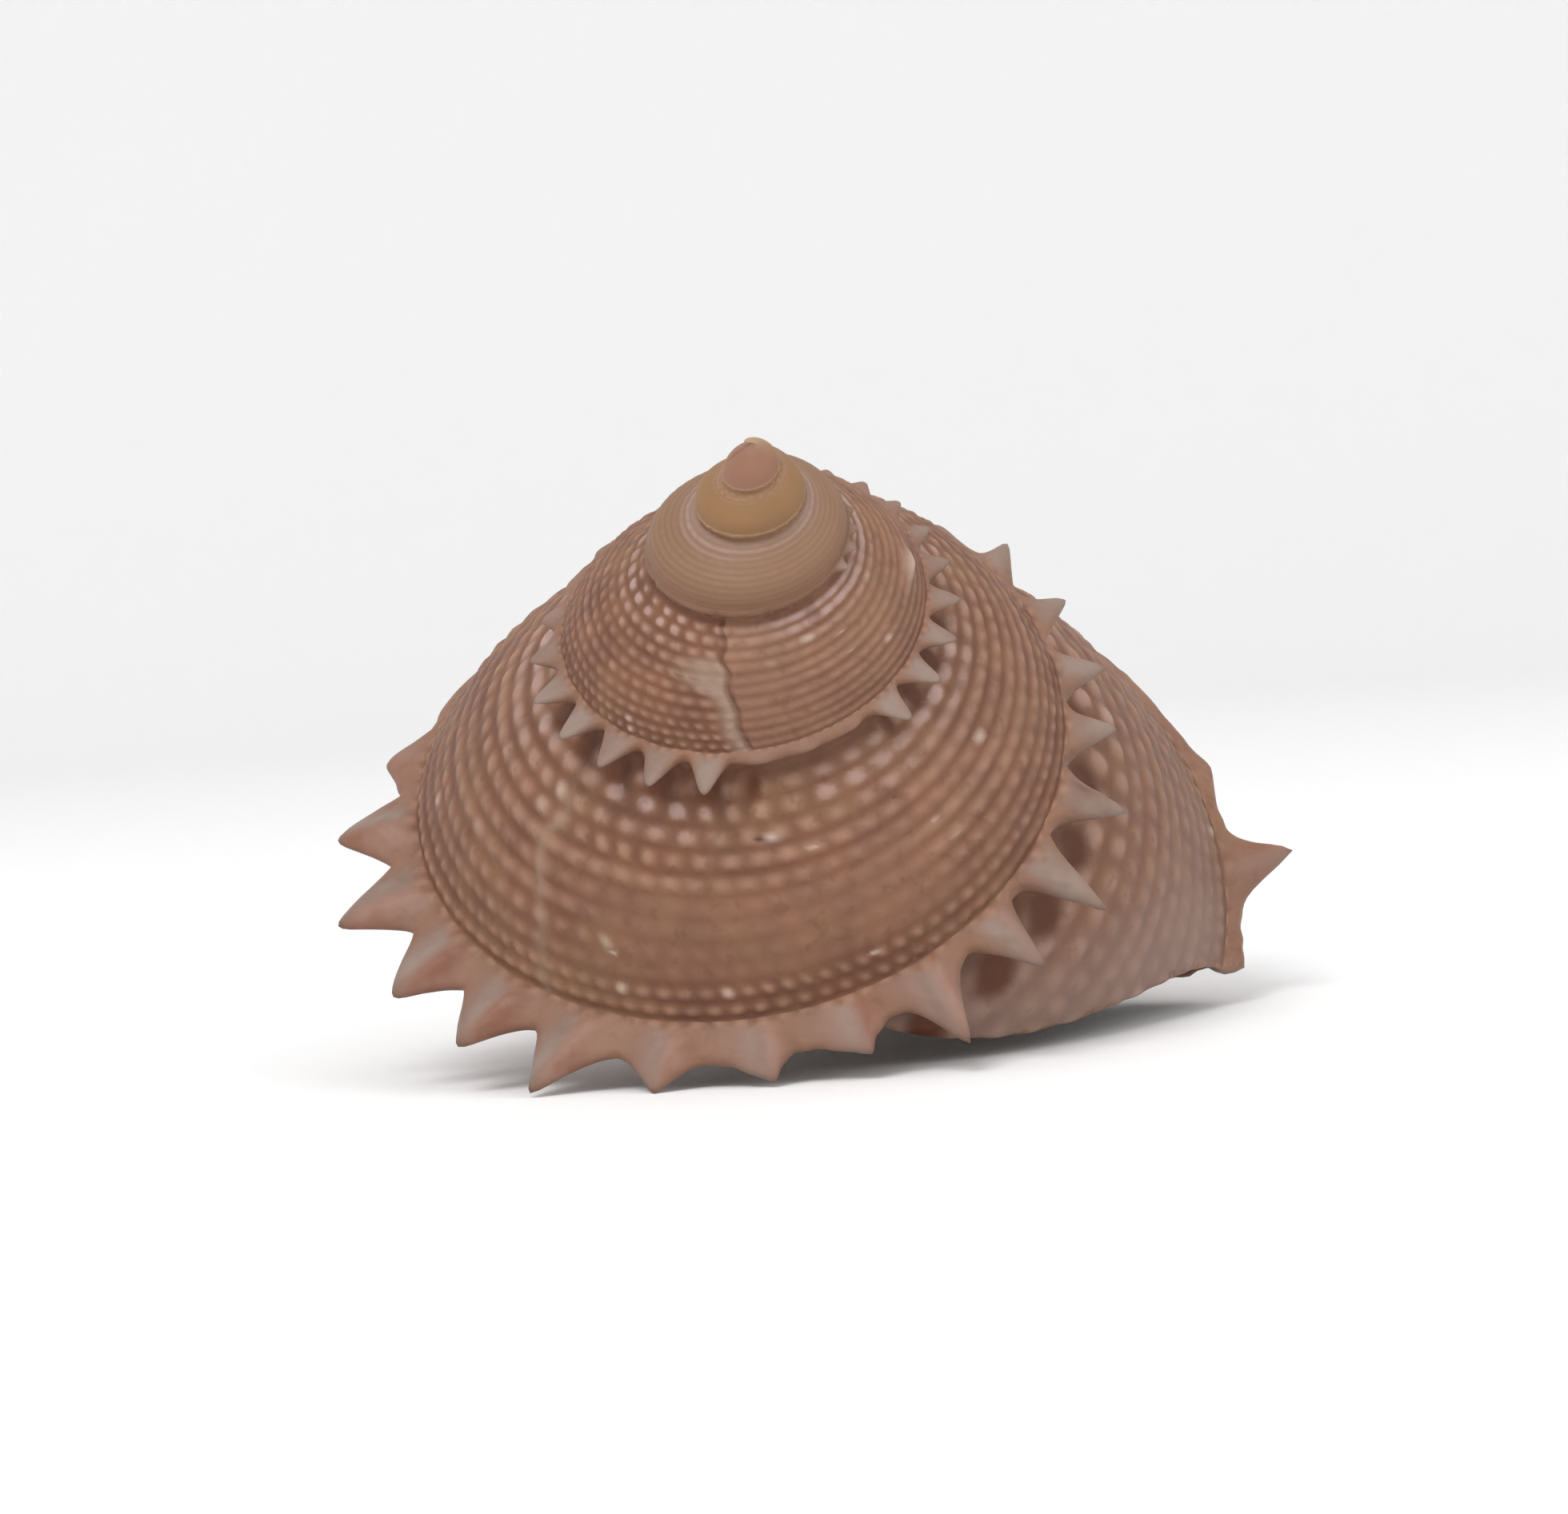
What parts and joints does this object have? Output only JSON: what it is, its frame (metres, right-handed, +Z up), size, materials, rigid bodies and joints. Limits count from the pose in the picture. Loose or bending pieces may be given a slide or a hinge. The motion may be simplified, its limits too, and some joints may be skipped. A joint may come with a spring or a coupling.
{
  "type": "turban shell",
  "caption": "Top-shaped sea snail shell with beaded turns, a keel of flat triangular spines and an open mouth underneath.",
  "frame": {"origin": "centre of the bounding box in plan, on the surface the shell rests on", "axes": "+Z up from the resting surface; the apex leans towards -Y; +X across, towards the lip"},
  "size_m": [0.041, 0.0322, 0.025],
  "materials": {
    "shell": "semi-matte beaded shell"
  },
  "bodies": {
    "root": {"shell": "shell"}
  },
  "joints": []
}
